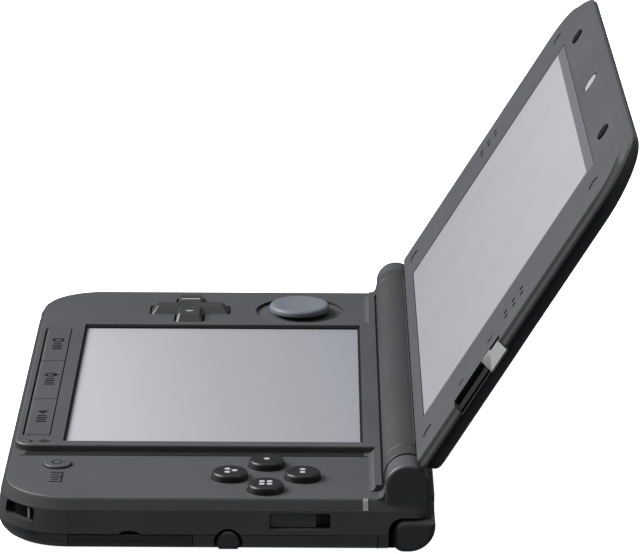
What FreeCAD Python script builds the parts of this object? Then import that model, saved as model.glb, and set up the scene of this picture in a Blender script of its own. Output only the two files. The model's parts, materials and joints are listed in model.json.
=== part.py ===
import FreeCAD, Part
import math
import os

# Folding dual-screen handheld game, standing open.
# Frame: +X to the player's right, +Y from the player towards the hinge, +Z up.  Millimetres.
# The pieces are drawn from the middle of the base on the plane of its feet.  The finished ones
# move by CENTRE_Y, so that the origin is below the middle of the whole open console.

# ---------------------------------------------------------------- driving dimensions
HALF_W = 78.0          # half of the body width
CENTRE_Y = 20.27       # middle of the open console, front to back, from the middle of the base
FRONT_Y = -46.5        # front face of the base
REAR_Y = 45.6          # rear face of the base
BOTTOM_Z = 0.6         # underside of the base, above the plane of the feet
SEAM_Z = 5.35          # lower rim of the top shell
COVER_TOP_Z = 5.2      # upper rim of the bottom parts, one seam gap lower
DECK_Z = 12.4          # deck beside the lower screen
DECK_SKIN_Z = 10.9     # underside of the deck
PLATEAU_Z = 13.9       # raised surround of the lower screen
GLASS_Z = 13.0         # surface of the touch panel
WALLS = [(SEAM_Z, 0.0, 0.0), (10.3, 1.0, 0.7), (12.0, 2.6, 1.6), (DECK_Z, 3.3, 2.1)]
                       # height, then how far the side walls and the front wall lean in there
PLATEAU_X = 45.4       # half width of the raised surround
FRONT_R = 15.5         # front corners in plan
REAR_R = 4.0           # rear corners in plan
REAR_BOTTOM_R = 6.0    # rounding along the rear bottom edge
COVER_REAR_Y = 33.7    # rear edge of the removable bottom cover
CAVITY_X = 74.6        # inside of the side walls
CAVITY_Y = (-43.1, 33.3)
CAVITY_R = 12.1
REAR_CAVITY_X = 50.5   # inside of the rear chamber, between the shoulder buttons

HINGE_Y = 39.9
HINGE_Z = 15.5
BARREL_R = 4.9
TROUGH_R = 5.4
KNUCKLE_X = (69.1, 76.0)
KNUCKLE_R = 4.6
LIP_X = 70.5           # half length of the raised edge in front of the barrel
BARREL_X = 63.0        # half length of the lid's barrel
RING_X = (63.15, 68.7)
SOCKET_R = 3.05        # sockets of the hinge inserts
INSERT_R = 3.0
SHAFT_R = 1.2

LID_ANGLE = 58.14      # rake of the open lid above the horizontal
LID_FACE = 1.1         # inner face of the lid, from the hinge axis
LID_BACK = -5.2        # outer face of the lid
LID_FOOT = 5.1         # lower edge of the lid, along it from the hinge axis
LID_TOP = 86.5         # upper edge of the lid
LID_SCREEN = (54.45, 8.75, 74.9)   # opening of the lid frame: half width, lower and upper edge
FRAME_EDGE = [(-0.6, 0.0, 0.0), (-0.1, 0.25, 1.0), (0.45, 1.4, 2.3), (0.95, 1.8, 3.5), (LID_FACE, 2.3, 4.2)]
LENS_R = 2.5
BUMPER_R = 1.9
CAMERA_T = 79.6
BUMPER_X = 44.6
SCREW_PAD = (66.0, 9.8)
TOP_PAD = (66.0, 73.1)
REAR_CAMERA = (17.5, 75.5)
SPEAKER_X = (60.4, 69.2)
SPEAKER_T = (36.0, 50.0)
SLIDER_T = (30.8, 36.5)
SLIDER_TRACK_T = (19.8, 36.9)

BOARD_Z = (8.45, 9.05)
PLATE_Z = (7.6, 8.4)
SCREEN_WINDOW = (-42.9, 42.9, -33.9, 30.9)
STRIP_Y = (-42.75, -37.05)
STRIP_X = {"select": (-38.9, -14.2), "home": (-13.9, 13.9), "start": (14.2, 38.9)}

PAD = (-59.7, -9.7)    # cross key
PAD_ARM = 9.3
PAD_HALF = 3.2
CIRCLE = (-59.5, 16.6)  # circle pad
CIRCLE_R = 7.2
CIRCLE_HOLE_R = 10.5
FACE = (62.0, 10.3)    # middle of the four face buttons
FACE_PITCH = 7.7
FACE_R = 3.8
POWER = (54.2, -34.3)
POWER_R = 3.0

STYLUS = (2.6, 4.3)    # stylus axis: y, z
STYLUS_R = 1.9
STYLUS_HEAD = (3.55, 2.45)   # round top of the stylus: height of its centre, radius
STYLUS_FLAT_Z = 2.0
MOUTH_GAP = 0.55       # gap round the stylus head
JACK = (-60.0, 8.6)    # headphone socket axis: x, z
JACK_BORE_R = 1.8
JACK_DEPTH = 12.0
JACK_MOUTH_Y = -44.8
WIRELESS_Y = (11.35, 20.9)
VOLUME_Y = (9.5, 14.5)
SWITCH_Z = (6.6, 9.6)
DOOR_Y = (-30.75, -4.85)
LIGHT_CORNER = (62.5, -31.0)
LIGHT_BAR_Y = (30.6, 31.75)
SHOULDER_PIN = (55.6, 42.0)
SHOULDER_X = (53.4, 77.6)
BAY_Y = 36.0           # front of the bays of the shoulder buttons
LOCATING_TAB = (58.0, 62.0, 33.45)   # tab that keys the rear block into the cover: x, x, front y
CARD_X = 17.8          # half width of the game card mouth
CARD_Z = (2.6, 6.9)
FEET = [(-60.0, -32.0), (60.0, -32.0), (-60.0, 18.0), (60.0, 18.0)]
CASE_SCREWS = [(-68.5, -35.5), (68.5, -35.5), (-71.4, 1.0), (71.4, 28.6)]
REAR_SCREWS = [(-48.0, 36.3), (48.0, 36.3)]
COVER_SCREWS = [(-66.0, 28.0), (66.0, 28.0)]

V = FreeCAD.Vector
X_AXIS = V(1, 0, 0)
Y_AXIS = V(0, 1, 0)
Z_AXIS = V(0, 0, 1)
ORIGIN = V(0, 0, 0)


# ---------------------------------------------------------------- helpers
def box(x0, x1, y0, y1, z0, z1):
    return Part.makeBox(x1 - x0, y1 - y0, z1 - z0, V(x0, y0, z0))


def disc(centre, r, z0, z1):
    return Part.makeCylinder(r, z1 - z0, V(centre[0], centre[1], z0))


def rod_x(x0, x1, y, z, r):
    return Part.makeCylinder(r, x1 - x0, V(x0, y, z), X_AXIS)


def rod_y(y0, y1, x, z, r):
    return Part.makeCylinder(r, y1 - y0, V(x, y0, z), Y_AXIS)


def mirrored(shape):
    return shape.mirror(ORIGIN, X_AXIS)


def pair(shape):
    """The shape and its mirror image on the other side, as separate solids."""
    return Part.makeCompound([shape, mirrored(shape)])


def fuse(first, *others):
    return first.fuse(list(others)).removeSplitter()


def cut(shape, *tools):
    return shape.cut(list(tools))


def edge_near(shape, x, y, z):
    """The edge whose middle is nearest to a point."""
    return min(shape.Edges, key=lambda edge: edge.CenterOfMass.distanceToPoint(V(x, y, z)))


def edges_at(shape, axis, value):
    """Edges whose ends all lie at one value along an axis."""
    return [e for e in shape.Edges if all(abs(getattr(v.Point, axis) - value) < 1e-3 for v in e.Vertexes)]


def edges_along(shape, axis):
    """Edges that start and end at the same place across an axis."""
    across = [a for a in "xyz" if a != axis]

    def runs_along(edge):
        if len(edge.Vertexes) != 2:
            return False
        start, end = (v.Point for v in edge.Vertexes)
        return all(abs(getattr(start, a) - getattr(end, a)) < 1e-3 for a in across)
    return [e for e in shape.Edges if runs_along(e)]


def soft_box(x0, x1, y0, y1, z0, z1, corner_r, top_r=0.0):
    """Box with rounded upright corners and, if given, a rounded top edge."""
    block = slab(x0, x1, y0, y1, z0, z1, corner_r)
    return block.makeFillet(top_r, edges_at(block, "z", z1)) if top_r else block


def outline(x0, x1, y0, y1, z, front_r, rear_r):
    """Closed rectangle at height z; front_r rounds its low-y corners and rear_r the others."""
    corners = [(x1 - rear_r, y1 - rear_r, rear_r, 0), (x0 + rear_r, y1 - rear_r, rear_r, 90),
               (x0 + front_r, y0 + front_r, front_r, 180), (x1 - front_r, y0 + front_r, front_r, 270)]
    arcs = []
    for cx, cy, r, start in corners:
        turns = [math.radians(start + step) for step in (0, 45, 90)]
        arcs.append([V(cx + r * math.cos(a), cy + r * math.sin(a), z) for a in turns])
    edges = []
    for k, points in enumerate(arcs):
        edges.append(Part.Arc(*points).toShape())
        edges.append(Part.makeLine(points[-1], arcs[(k + 1) % 4][0]))
    return Part.Wire(edges)


def slab(x0, x1, y0, y1, z0, z1, front_r, rear_r=None):
    """Upright prism on a rounded rectangle."""
    wire = outline(x0, x1, y0, y1, z0, front_r, front_r if rear_r is None else rear_r)
    return Part.Face(wire).extrude(V(0, 0, z1 - z0))


def rounded_prism_x(corners, x0, x1):
    """Prism along X on a polygon of (y, z, corner radius)."""
    arcs = []
    for k, (y, z, r) in enumerate(corners):
        here = V(x0, y, z)
        back = (V(x0, *corners[k - 1][:2]) - here).normalize()
        ahead = (V(x0, *corners[(k + 1) % len(corners)][:2]) - here).normalize()
        half = back.getAngle(ahead) / 2
        middle = here + (back + ahead).normalize() * (r / math.sin(half) - r)
        reach = r / math.tan(half)
        arcs.append([here + back * reach, middle, here + ahead * reach])
    edges = []
    for k, points in enumerate(arcs):
        edges.append(Part.Arc(*points).toShape())
        edges.append(Part.makeLine(points[-1], arcs[(k + 1) % len(arcs)][0]))
    return Part.Face(Part.Wire(edges)).extrude(V(x1 - x0, 0, 0))


def ring_sector(centre, r0, r1, z0, z1, turn0, turn1):
    """Part of a flat ring between two angles in degrees, measured from +X."""
    x, y = centre
    base = V(x, y, z0)
    sweep = turn1 - turn0
    outer = Part.makeCylinder(r1, z1 - z0, base, Z_AXIS, sweep)
    sector = outer.cut(Part.makeCylinder(r0, z1 - z0, base, Z_AXIS, sweep))
    sector.rotate(base, Z_AXIS, turn0)
    return sector


def domes(places, r, z0, z1):
    """Small cone frustums, as on a rubber button mat."""
    return [Part.makeCone(r, r * 0.55, z1 - z0, V(x, y, z0)) for x, y in places]


def screws(places, head_r, shank_r, z_head, z_neck, z_tip):
    """Screws that point up: the head from z_head to z_neck, the shank from there to z_tip."""
    made = []
    for place in places:
        head = disc(place, head_r, z_head, z_neck)
        cross = [box(place[0] - a, place[0] + a, place[1] - b, place[1] + b, z_head, z_head + 0.35)
                 for a, b in ((0.9, 0.2), (0.2, 0.9))]
        made.append(cut(fuse(head, disc(place, shank_r, z_neck, z_tip)), *cross))
    return Part.makeCompound(made)


def on_lid(shape):
    """Place a shape drawn in the lid's own frame: y runs up the lid, z out of its inner face."""
    placed = shape.copy()
    placed.rotate(ORIGIN, X_AXIS, LID_ANGLE)
    placed.translate(V(0, HINGE_Y, HINGE_Z))
    return placed


# ---------------------------------------------------------------- envelopes of the base
def upper_envelope():
    """Outside of the base above the seam: leaning walls and a rounded deck edge."""
    sections = []
    for z, side, front in WALLS:
        half = HALF_W - side
        sections.append(outline(-half, half, FRONT_Y + front, REAR_Y, z, FRONT_R - front, REAR_R))
    return Part.makeLoft(sections, True, True)


def smooth_profile(points, count):
    """Points along the smooth curve through (height, inset) pairs."""
    curve = Part.BSplineCurve()
    curve.interpolate([V(height, inset, 0) for height, inset in points])
    return [(p.x, p.y) for p in curve.discretize(count)]


def lower_envelope():
    """Outside of the base below the seam: a belly that curves in towards the feet."""
    belly = [(COVER_TOP_Z, 0.1), (3.6, 0.45), (2.4, 1.3), (1.4, 3.1), (0.8, 5.7), (BOTTOM_Z, 8.0)]
    sections = []
    for z, inset in smooth_profile(belly, 10):
        drop = min(BOTTOM_Z + REAR_BOTTOM_R - z, REAR_BOTTOM_R)
        rear = REAR_Y - REAR_BOTTOM_R + math.sqrt(REAR_BOTTOM_R ** 2 - drop ** 2)
        half = HALF_W - inset
        sections.append(outline(-half, half, FRONT_Y + inset, rear, z, FRONT_R - inset, REAR_R))
    return Part.makeLoft(sections, True, True)


def switch_slot(side, y0, y1):
    """Opening for a sliding knob in one side wall."""
    x0, x1 = sorted((side * (CAVITY_X - 0.6), side * 79.0))
    opening = box(x0, x1, y0, y1, SWITCH_Z[0] - 0.2, SWITCH_Z[1] + 0.2)
    return opening.makeFillet(0.5, edges_along(opening, "x"))


def stylus_notch(clearance):
    """D-shaped mouth in the right wall, round above and flat below."""
    y = STYLUS[0]
    z, r = STYLUS_HEAD
    mouth = rod_x(71.5, 79.0, y, z, r + clearance)
    return mouth.common(box(71.5, 79.0, y - 4, y + 4, STYLUS_FLAT_Z - clearance, 8.0))


def shoulder_bay(z0, z1):
    """Room for one shoulder button, at the rear right corner."""
    return box(SHOULDER_X[0] - 1.2, 79.0, BAY_Y, 47.0, z0, z1)


def upper_bay():
    """The part of the shoulder bay above the seam, rounded like the button."""
    top = 8.9
    bay = shoulder_bay(4.9, top)
    return bay.makeFillet(3.0, [edge_near(bay, 65.6, BAY_Y, top)])


def tab(clearance, y1, z0, z1):
    x0, x1, y0 = LOCATING_TAB
    return box(x0 - clearance, x1 + clearance, y0 - clearance, y1, z0, z1)


def card_mouth():
    return box(-CARD_X, CARD_X, 42.4, 46.5, CARD_Z[0], CARD_Z[1])


def rear_port(x0, x1, z0, z1):
    """Rounded opening through the rear wall."""
    opening = box(x0, x1, 43.4, 46.5, z0, z1)
    return opening.makeFillet(0.6, edges_along(opening, "y"))


def cross_hole(clearance, z0, z1):
    """Plus-shaped prism of the cross key, grown by a clearance."""
    arm = PAD_ARM + clearance
    half = PAD_HALF + clearance
    x, y = PAD
    bars = [soft_box(x - a, x + a, y - b, y + b, z0, z1, 0.9) for a, b in ((arm, half), (half, arm))]
    return fuse(*bars)


# ---------------------------------------------------------------- base: shells
def screen_plateau():
    block = slab(-PLATEAU_X, PLATEAU_X, -44.3, 34.4, 11.5, PLATEAU_Z, 4.0, 0.6)
    return block.makeFillet(0.5, edges_at(block, "z", PLATEAU_Z))


def concave_rise(x0, x1, front, back):
    """Ridge along X whose front face rises from the deck in a hollow quarter circle."""
    r = PLATEAU_Z - DECK_Z
    turn = math.radians(45)
    root = DECK_Z - 0.4
    start = V(x0, front, DECK_Z)
    middle = V(x0, front + r * math.sin(turn), PLATEAU_Z - r * math.cos(turn))
    end = V(x0, front + r, PLATEAU_Z)
    rest = Part.makePolygon([end, V(x0, back, PLATEAU_Z), V(x0, back, root), V(x0, front, root), start])
    hollow = Part.Arc(start, middle, end).toShape()
    return Part.Face(Part.Wire([hollow] + rest.Edges)).extrude(V(x1 - x0, 0, 0))


def screen_lip():
    """Raised edge in front of the barrel."""
    return concave_rise(-LIP_X, LIP_X, 31.9, 34.6)


def knuckle_root():
    """Hollow rise from the deck to the front of the right knuckle."""
    return concave_rise(LIP_X, KNUCKLE_X[1] - 0.8, 33.6, 37.0)


def knuckle():
    """Right hinge knuckle of the base: a round-topped block with a blind socket."""
    x0, x1 = KNUCKLE_X
    y0, y1, foot = HINGE_Y - KNUCKLE_R, HINGE_Y + KNUCKLE_R, 10.6
    crown = Part.Arc(V(x0, y0, HINGE_Z), V(x0, HINGE_Y, HINGE_Z + KNUCKLE_R), V(x0, y1, HINGE_Z)).toShape()
    rest = Part.makePolygon([V(x0, y1, HINGE_Z), V(x0, y1, foot), V(x0, y0, foot), V(x0, y0, HINGE_Z)])
    block = Part.Face(Part.Wire([crown] + rest.Edges)).extrude(V(x1 - x0, 0, 0))
    rim = [e for e in edges_at(block, "x", x1) if e.CenterOfMass.z > foot + 0.1]
    return block.makeFillet(0.8, rim)


def rear_rail():
    top = 13.2
    rail = soft_box(-74.0, 74.0, 38.0, REAR_Y, 11.5, top, 1.0)
    return rail.makeFillet(0.4, [edge_near(rail, 0, REAR_Y, top)])


def light_pocket(r0):
    """Curved recess round the front right corner."""
    pocket = ring_sector(LIGHT_CORNER, r0, 17.0, 7.2, 10.2, -62, -28)
    radial = [e for e in pocket.Edges if abs(e.Length - (17.0 - r0)) < 1e-3]
    return pocket.makeFillet(0.9, radial)


def base_top_shell():
    ends = fuse(knuckle(), knuckle_root())
    solid = fuse(upper_envelope(), screen_plateau(), screen_lip(), ends, mirrored(ends), rear_rail())
    x0, x1, y0, y1 = SCREEN_WINDOW
    inside = [
        slab(-CAVITY_X, CAVITY_X, CAVITY_Y[0], CAVITY_Y[1], 4.9, DECK_SKIN_Z, CAVITY_R, 1.0),
        box(-44.2, 44.2, -35.7, 33.0, 10.8, GLASS_Z + 0.1),
        box(-40.2, 40.2, -43.0, -36.3, 10.8, 12.9),
        box(-REAR_CAVITY_X, REAR_CAVITY_X, 33.2, 44.0, 4.9, 8.7),
        upper_bay(), mirrored(upper_bay()),
    ]
    openings = [
        rod_x(-KNUCKLE_X[0], KNUCKLE_X[0], HINGE_Y, HINGE_Z, TROUGH_R),
        rod_x(69.0, 74.4, HINGE_Y, HINGE_Z, SOCKET_R), rod_x(-74.4, -69.0, HINGE_Y, HINGE_Z, SOCKET_R),
        box(x0, x1, y0, y1, 12.8, 15.0),
        box(-39.1, 39.1, -42.95, -36.8, 12.5, 15.0),
        cross_hole(0.4, 10.5, 14.0),
        disc(CIRCLE, CIRCLE_HOLE_R, 10.5, 14.0), disc(CIRCLE, 15.7, 10.5, 11.85),
        disc(POWER, POWER_R + 0.15, 10.5, 14.0),
        switch_slot(1, 11.2, 23.9), switch_slot(-1, 4.6, 19.4),
        rod_y(-47.0, -42.8, JACK[0], JACK[1], 3.0),
        light_pocket(12.9),
        box(CAVITY_X, 79.0, LIGHT_BAR_Y[0] - 0.15, LIGHT_BAR_Y[1] + 0.15, 10.3, 13.0),
        stylus_notch(MOUTH_GAP), card_mouth(),
        rear_port(23.0, 33.0, 5.6, 8.4), rear_port(-34.0, -25.0, 5.6, 8.4),
        rod_x(76.6, 79.0, -18.0, 2.6, 3.6),
        disc((43.2, -40.8), 0.5, 13.0, 15.0),
    ]
    grooves = [box(s * 48.15 - 0.25, s * 48.15 + 0.25, -43.0, 31.9, DECK_Z - 0.35, 13.0) for s in (-1, 1)]
    face_holes = [disc(place, FACE_R + 0.15, 10.5, 14.0) for place in face_places().values()]
    shell = cut(solid, *inside, *openings, *grooves, *face_holes)
    bosses = [disc(place, 2.2, PLATE_Z[1], DECK_SKIN_Z + 0.2) for place in CASE_SCREWS]
    threads = [disc(place, 0.85, 4.0, 10.5) for place in CASE_SCREWS + REAR_SCREWS]
    return cut(fuse(shell, *bosses), *threads)


def face_places():
    x, y = FACE
    return {"right": (x + FACE_PITCH, y), "top": (x, y + FACE_PITCH),
            "left": (x - FACE_PITCH, y), "bottom": (x, y - FACE_PITCH)}


def screw_post(place, z0, z1):
    return disc(place, 2.2, z0, z1)


def base_bottom_shell():
    plan = (-CAVITY_X + 0.2, CAVITY_X - 0.2, CAVITY_Y[0] + 0.2, CAVITY_Y[1] - 0.1)
    plate = slab(*plan, SEAM_Z + 0.2, PLATE_Z[1], CAVITY_R - 0.2, 0.8)
    wall = 1.2
    inner = (plan[0] + wall, plan[1] - wall, plan[2] + wall, plan[3] - wall)
    room = slab(*inner, 5.0, PLATE_Z[0], CAVITY_R - 0.2 - wall, 0.4)
    tray = plate.cut(room)
    rear_block = lower_envelope().common(box(-79, 79, COVER_REAR_Y + 0.2, 47.0, 0, COVER_TOP_Z))
    chamber = [box(-50.0, 50.0, 35.3, 41.8, 1.9, SEAM_Z), box(-50.0, 50.0, 41.0, 43.6, 3.0, SEAM_Z)]
    rear_block = cut(rear_block, *chamber, shoulder_bay(1.05, SEAM_Z), mirrored(shoulder_bay(1.05, SEAM_Z)))
    keys = [tab(0.0, 34.2, 1.2, 4.7), mirrored(tab(0.0, 34.2, 1.2, 4.7))]
    bridge = fuse(box(-50.3, 50.3, 33.9, 35.3, 3.0, PLATE_Z[1]), box(-50.3, 50.3, 32.5, 35.3, *PLATE_Z))
    well = [box(-42.6, -41.6, -39.0, -2.9, 2.6, 7.7), box(17.6, 18.6, -39.0, -2.9, 2.6, 7.7),
            box(-42.6, 18.6, -3.9, -2.9, 2.6, 7.7)]
    y, z = STYLUS
    tube = box(-18.6, 71.5, y - 2.8, y + 2.8, 2.0, 7.7)
    posts = [screw_post(place, 3.4, PLATE_Z[1]) for place in CASE_SCREWS]
    posts += [screw_post(place, 1.5, PLATE_Z[1]) for place in REAR_SCREWS]
    posts += [screw_post(place, 1.9, PLATE_Z[1]) for place in COVER_SCREWS]
    body = fuse(tray, rear_block, bridge, tube, *keys, *well, *posts)
    holes = [rod_x(-17.6, 75.0, y, z, STYLUS_R + 0.15), box(71.5, 75.0, y - 3.1, y + 3.1, 5.0, 7.45)]
    holes += [disc(place, 1.8, 3.0, 4.5) for place in CASE_SCREWS]
    holes += [disc(place, 0.85, 0.0, 8.5) for place in CASE_SCREWS + REAR_SCREWS]
    holes += [disc(place, 1.8, 0.0, 1.4) for place in REAR_SCREWS]
    holes += [disc(place, 1.05, 0.0, 8.0) for place in COVER_SCREWS]
    holes += [
        box(72.0, 75.0, 9.9, 25.2, 5.75, 8.5), box(-75.0, -72.0, 4.0, 20.0, 5.75, 8.5),
        box(-64.3, -55.7, -43.0, -29.7, 5.0, 8.5),
        box(-CARD_X - 1.25, CARD_X + 1.25, 12.9, 42.75, 1.85, 7.5), card_mouth(),
        box(22.5, 33.5, 35.0, 47.0, 5.2, 8.8),
        box(41.5, 73.3, -30.6, -5.2, 1.0, 6.4),
    ]
    return cut(body, *holes)


def battery_cover():
    front = lower_envelope().common(box(-79, 79, -47, COVER_REAR_Y, 0, COVER_TOP_Z))
    low = outline(-71.5, 71.5, -40.0, 31.0, 1.8, 9.0, 1.0)
    high = outline(-CAVITY_X, CAVITY_X, CAVITY_Y[0], 32.2, 3.2, CAVITY_R, 1.0)
    tray = Part.makeLoft([low, high], True, True)
    upper = slab(-CAVITY_X, CAVITY_X, CAVITY_Y[0], 32.2, 3.2, SEAM_Z, CAVITY_R, 1.0)
    cuts = [
        tray, upper, stylus_notch(MOUTH_GAP),
        tab(0.15, 34.0, 0.0, SEAM_Z), mirrored(tab(0.15, 34.0, 0.0, SEAM_Z)),
        box(75.1, 79.0, DOOR_Y[0] - 0.15, DOOR_Y[1] + 0.15, 2.15, SEAM_Z),
        box(75.3, 79.0, DOOR_Y[0] - 0.15, DOOR_Y[1] + 0.15, 1.2, 2.2),
        box(72.5, 76.2, DOOR_Y[0] + 0.55, DOOR_Y[1] - 0.75, 2.3, SEAM_Z),
        box(-CARD_X - 1.25, CARD_X + 1.25, 30.5, 34.0, 1.85, SEAM_Z),
    ]
    cuts += [disc(place, 2.0, 0.0, 1.2) for place in COVER_SCREWS]
    cuts += [disc(place, 1.1, 0.0, 2.0) for place in COVER_SCREWS]
    cuts += [disc(place, 3.05, 0.0, BOTTOM_Z + 0.3) for place in FEET]
    return cut(front, *cuts)


def rubber_feet():
    return Part.makeCompound([disc(place, 3.0, 0.0, BOTTOM_Z + 0.3) for place in FEET])


def case_screws():
    main = screws(CASE_SCREWS, 1.6, 0.8, 3.5, 4.5, 10.3)
    rear = screws(REAR_SCREWS, 1.6, 0.8, 0.75, 1.4, 10.3)
    return Part.makeCompound(main.Solids + rear.Solids)


def cover_screws():
    return screws(COVER_SCREWS, 1.9, 1.0, 0.7, 1.2, 7.8)


# ---------------------------------------------------------------- base: electronics
def battery_pack():
    pack = box(-41.0, 17.0, -39.8, -4.5, 2.1, 7.3)
    return pack.makeFillet(1.0, pack.Edges)


def main_board():
    z0, z1 = BOARD_Z
    board = slab(-73.0, 73.0, -41.0, 32.5, z0, z1, 10.0, 1.0)
    holes = [disc(place, 2.5, z0, z1) for place in CASE_SCREWS]
    jack_x = JACK[0]
    return cut(board, *holes, box(jack_x - 4.5, jack_x + 4.5, -42.0, -29.5, z0, z1))


def board_components():
    z = BOARD_Z[1]
    chips = [(-8, 8, -8, 8, 0.9), (-30, -18, -20, -8, 0.8), (20, 32, 6, 20, 0.8), (-32, -22, 8, 22, 0.7),
             (14, 20, -26, -14, 0.6), (28, 40, -28, -16, 0.9), (-44, -38, -30, -20, 0.6)]
    return Part.makeCompound([box(x0, x1, y0, y1, z, z + h) for x0, x1, y0, y1, h in chips])


def lower_lcd():
    return box(-43.5, 43.5, -35.0, 32.0, 10.0, 12.05)


def touch_panel():
    return box(-43.8, 43.8, -35.3, 32.3, 12.1, GLASS_Z)


def charge_port():
    body = box(23.8, 32.2, 38.0, 45.0, 5.7, 8.3)
    return cut(body, box(24.6, 31.4, 40.5, 45.5, 6.3, 7.7))


def infrared_window():
    return rear_port(-33.9, -25.1, 5.7, 8.3).common(box(-34, -25, 43.0, 45.3, 5, 9))


def headphone_jack():
    x, z = JACK
    body = box(x - 3.9, x + 3.9, -42.9, -30.2, 6.4, 10.8)
    front = rod_y(JACK_MOUTH_Y, -42.9, x, z, 2.9)
    bore = rod_y(JACK_MOUTH_Y - 1.0, JACK_MOUTH_Y + JACK_DEPTH, x, z, JACK_BORE_R)
    return cut(fuse(body, front), bore)


def sd_socket():
    shell = box(42.0, 72.0, -30.3, -5.5, 2.2, 6.2)
    return cut(shell, box(43.0, 73.0, -30.0, -5.8, 2.5, 4.8))


def sd_card():
    card = box(43.5, 75.2, -29.9, -5.9, 2.65, 4.65)
    return card.makeChamfer(2.5, [edge_near(card, 43.5, -29.9, 3.65)])


def game_card_slot():
    housing = box(-CARD_X - 1.1, CARD_X + 1.1, 13.0, 42.6, 1.95, 7.4)
    return cut(housing, box(-CARD_X, CARD_X, 13.9, 45.0, CARD_Z[0], CARD_Z[1]))


def status_light_window():
    return light_pocket(12.9).common(ring_sector(LIGHT_CORNER, 12.9, 13.7, 7.0, 10.4, -63, -27))


def light_pipes():
    """One bar in the corner window and one flush bar in the side wall near the hinge."""
    corner = ring_sector(LIGHT_CORNER, 13.7, 14.2, 7.5, 9.9, -36.0, -34.0)
    side = box(CAVITY_X + 0.1, 79.0, *LIGHT_BAR_Y, 10.4, 13.0).common(upper_envelope())
    return Part.makeCompound([corner, side])


# ---------------------------------------------------------------- base: controls
def face_membrane():
    mat = box(50.8, 73.0, -0.8, 21.4, 9.08, 9.3)
    return fuse(mat, *domes(face_places().values(), 2.6, 9.3, 9.85))


def dpad_membrane():
    x, y = PAD
    mat = cut(box(x - 9, x + 9, y - 9, y + 9, 9.08, 9.25), disc(PAD, 2.2, 9.0, 9.3))
    offsets = [(6.3, 0), (-6.3, 0), (0, 6.3), (0, -6.3)]
    return fuse(mat, *domes([(x + dx, y + dy) for dx, dy in offsets], 1.8, 9.25, 9.55))


def system_membrane():
    mat = box(-38.0, 38.0, -42.5, -37.3, 9.08, 9.3)
    middles = [((x0 + x1) / 2, -39.9) for x0, x1 in STRIP_X.values()]
    return fuse(mat, *domes(middles, 1.8, 9.3, 10.35))


def face_button(side):
    place = face_places()[side]
    cap = disc(place, FACE_R, 10.4, 14.0)
    cap = cap.makeFillet(0.7, edges_at(cap, "z", 14.0))
    return fuse(disc(place, 4.2, 9.9, 10.6), cap)


def system_button(name):
    x0, x1 = STRIP_X[name]
    y0, y1 = STRIP_Y
    cap = box(x0, x1, y0, y1, 12.0, 13.95)
    cap = cap.makeFillet(0.9, [edge_near(cap, (x0 + x1) / 2, y0, 13.95)])
    flange = box(x0 + 0.1, x1 - 0.1, -42.9, -36.5, 11.6, 12.2)
    middle = (x0 + x1) / 2
    return fuse(cap, flange, disc((middle, -39.9), 1.8, 10.4, 11.7))


def power_button():
    cap = disc(POWER, POWER_R, 10.4, 13.0)
    cap = cap.makeFillet(0.4, edges_at(cap, "z", 13.0))
    return fuse(disc(POWER, 3.8, 9.9, 10.6), cap)


def dpad_pivot():
    rod = disc(PAD, 1.2, 9.1, 10.3)
    return rod.makeFillet(0.4, edges_at(rod, "z", 10.3))


def tapered_cross(z0, z1):
    """Top of the cross key: each arm narrows towards the top."""
    x, y = PAD
    bars = []
    for foot_half, top_half in (((PAD_ARM, PAD_HALF), (PAD_ARM - 1.7, PAD_HALF - 0.7)),
                                ((PAD_HALF, PAD_ARM), (PAD_HALF - 1.7, PAD_ARM - 1.5))):
        a, b = foot_half
        foot = outline(x - a, x + a, y - b, y + b, z0, 0.9, 0.9)
        a, b = top_half
        crown = outline(x - a, x + a, y - b, y + b, z1, 0.5, 0.5)
        bars.append(Part.makeLoft([foot, crown], True, True))
    return fuse(*bars)


def dpad_key():
    cap = tapered_cross(DECK_Z - 0.2, PLATEAU_Z)
    cap = cap.makeFillet(0.25, edges_at(cap, "z", PLATEAU_Z))
    key = fuse(disc(PAD, 10.2, 9.75, 10.25), cross_hole(0.0, 9.9, DECK_Z - 0.2), cap)
    dish = Part.makeSphere(14.0, V(PAD[0], PAD[1], PLATEAU_Z + 13.65))
    return cut(key, disc(PAD, 1.9, 9.0, 10.45), dish)


def circle_pad_module():
    x, y = CIRCLE
    tray = box(x - 12, x + 12, y - 12, y + 12, 9.1, 10.85)
    return cut(tray, box(x - 11, x + 11, y - 11, y + 11, 9.6, 11.0))


def circle_pad_carriage():
    x, y = CIRCLE
    frame = box(x - 8, x + 8, y - 10.7, y + 10.7, 9.7, 10.2)
    return frame.makeFillet(1.0, edges_along(frame, "z"))


def circle_pad_cap():
    """Dished thumb pad on a stem, with a wide skirt under the deck."""
    skirt = disc(CIRCLE, 12.6, 11.1, 11.7)
    stem = Part.makeCone(4.5, 3.4, 1.3, V(*CIRCLE, 11.7))
    post = disc(CIRCLE, 3.4, 10.3, 13.0)
    cap = disc(CIRCLE, CIRCLE_R, 12.85, 14.2)
    cap = cap.makeFillet(0.9, edges_at(cap, "z", 14.2))
    pad = fuse(skirt, stem, post, cap)
    dish = Part.makeSphere(48.0, V(*CIRCLE, 14.2 + 47.65))
    return cut(pad, dish)


def shoulder_button():
    """Right shoulder button: a block at the rear corner with a different rounding on each long edge."""
    x0, x1 = SHOULDER_X
    y0, y1, z0, z1 = 36.9, 45.8, 1.3, 8.4
    block = rounded_prism_x([(y0, z0, 2.4), (y1, z0, 5.6), (y1, z1, 1.3), (y0, z1, 2.8)], x0, x1)
    block = block.makeFillet(1.2, edges_at(block, "x", x1))
    return cut(block, disc(SHOULDER_PIN, 0.95, 0.0, 9.0), disc(SHOULDER_PIN, 2.1, 6.4, 9.0))


def shoulder_pins():
    return pair(disc(SHOULDER_PIN, 0.9, 1.35, 8.85))


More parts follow.
